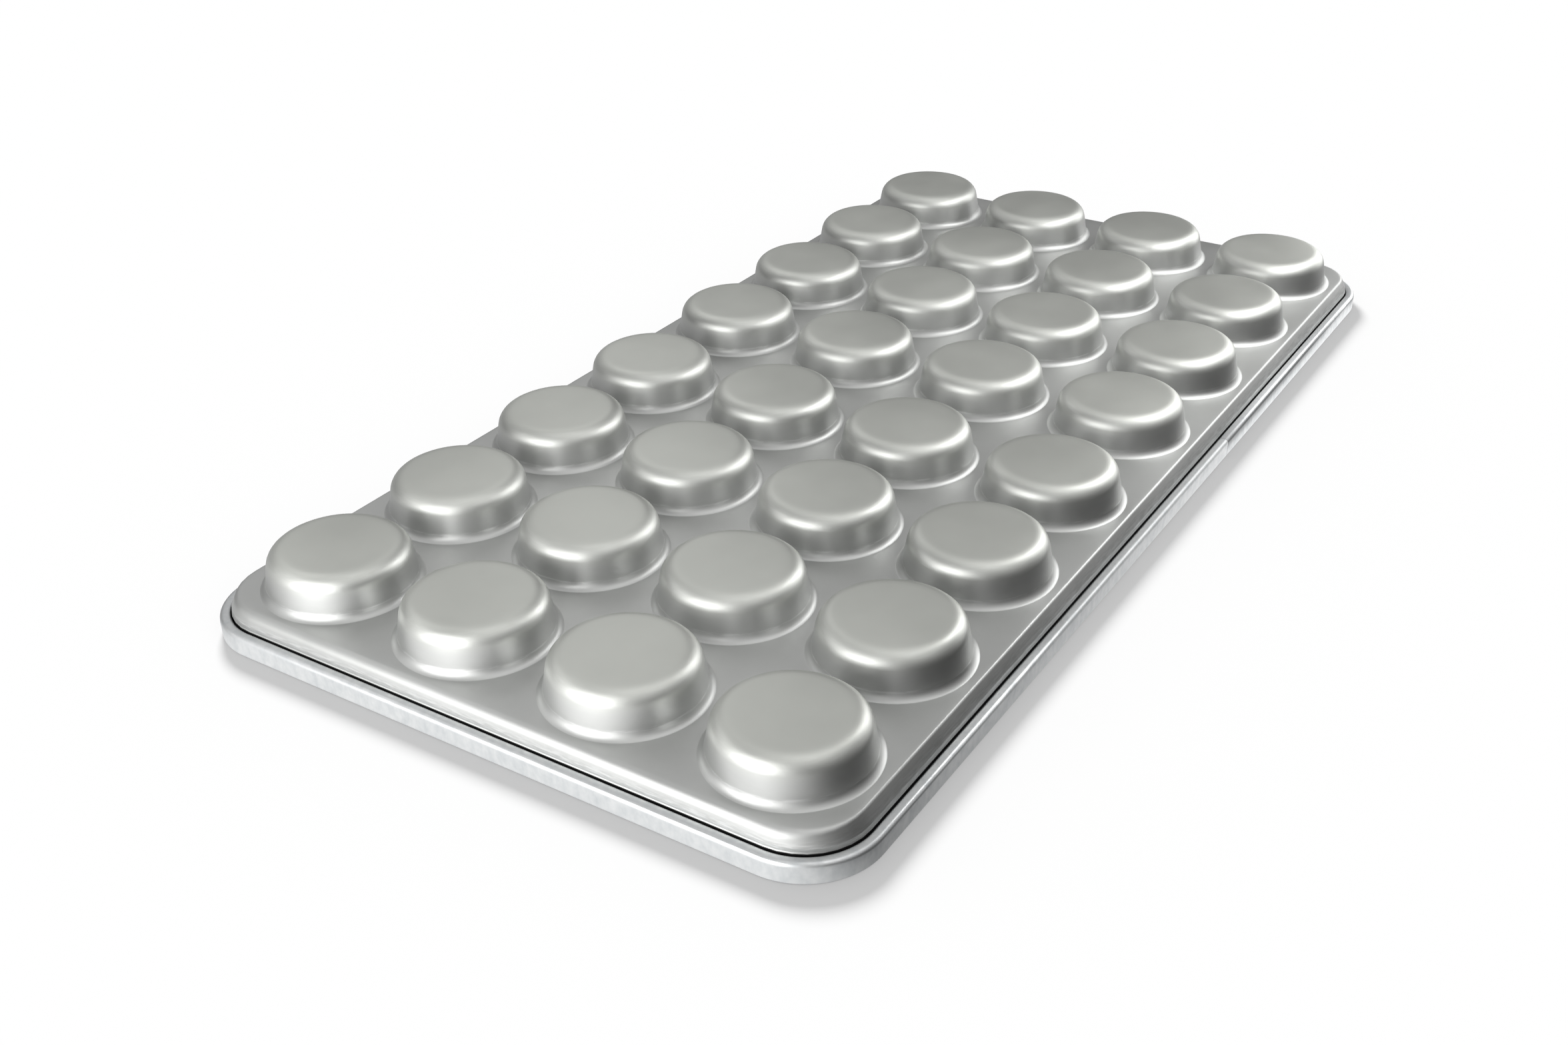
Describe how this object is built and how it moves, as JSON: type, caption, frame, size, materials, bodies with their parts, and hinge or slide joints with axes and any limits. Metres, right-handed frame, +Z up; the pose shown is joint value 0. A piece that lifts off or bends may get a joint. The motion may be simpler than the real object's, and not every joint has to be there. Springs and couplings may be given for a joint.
{
  "type": "bun baking tray",
  "caption": "Pressed metal baking tray with round flat-bottomed bun cups in a rectangular grid, stiffened by a folded rim band, shown standing upside down on its rim.",
  "frame": {"origin": "under the middle of the tray, on the surface that its rim stands on when it is upside down", "axes": "+X along the long side, +Y along the short side, +Z up through the bottoms of the cups"},
  "size_m": [0.8906, 0.4588, 0.0518],
  "materials": {
    "pressed_sheet": "satin pressed sheet, warm light grey, with soft highlights on its rounded edges",
    "rim_band": "satin coated steel strip, cooler grey, faintly mottled and streaked",
    "rim_bar": "plain rolled steel bar, hidden inside the band"
  },
  "bodies": {
    "root": {"mould_sheet": "pressed_sheet", "rim_band": "rim_band", "rim_bar": "rim_bar"}
  },
  "joints": []
}
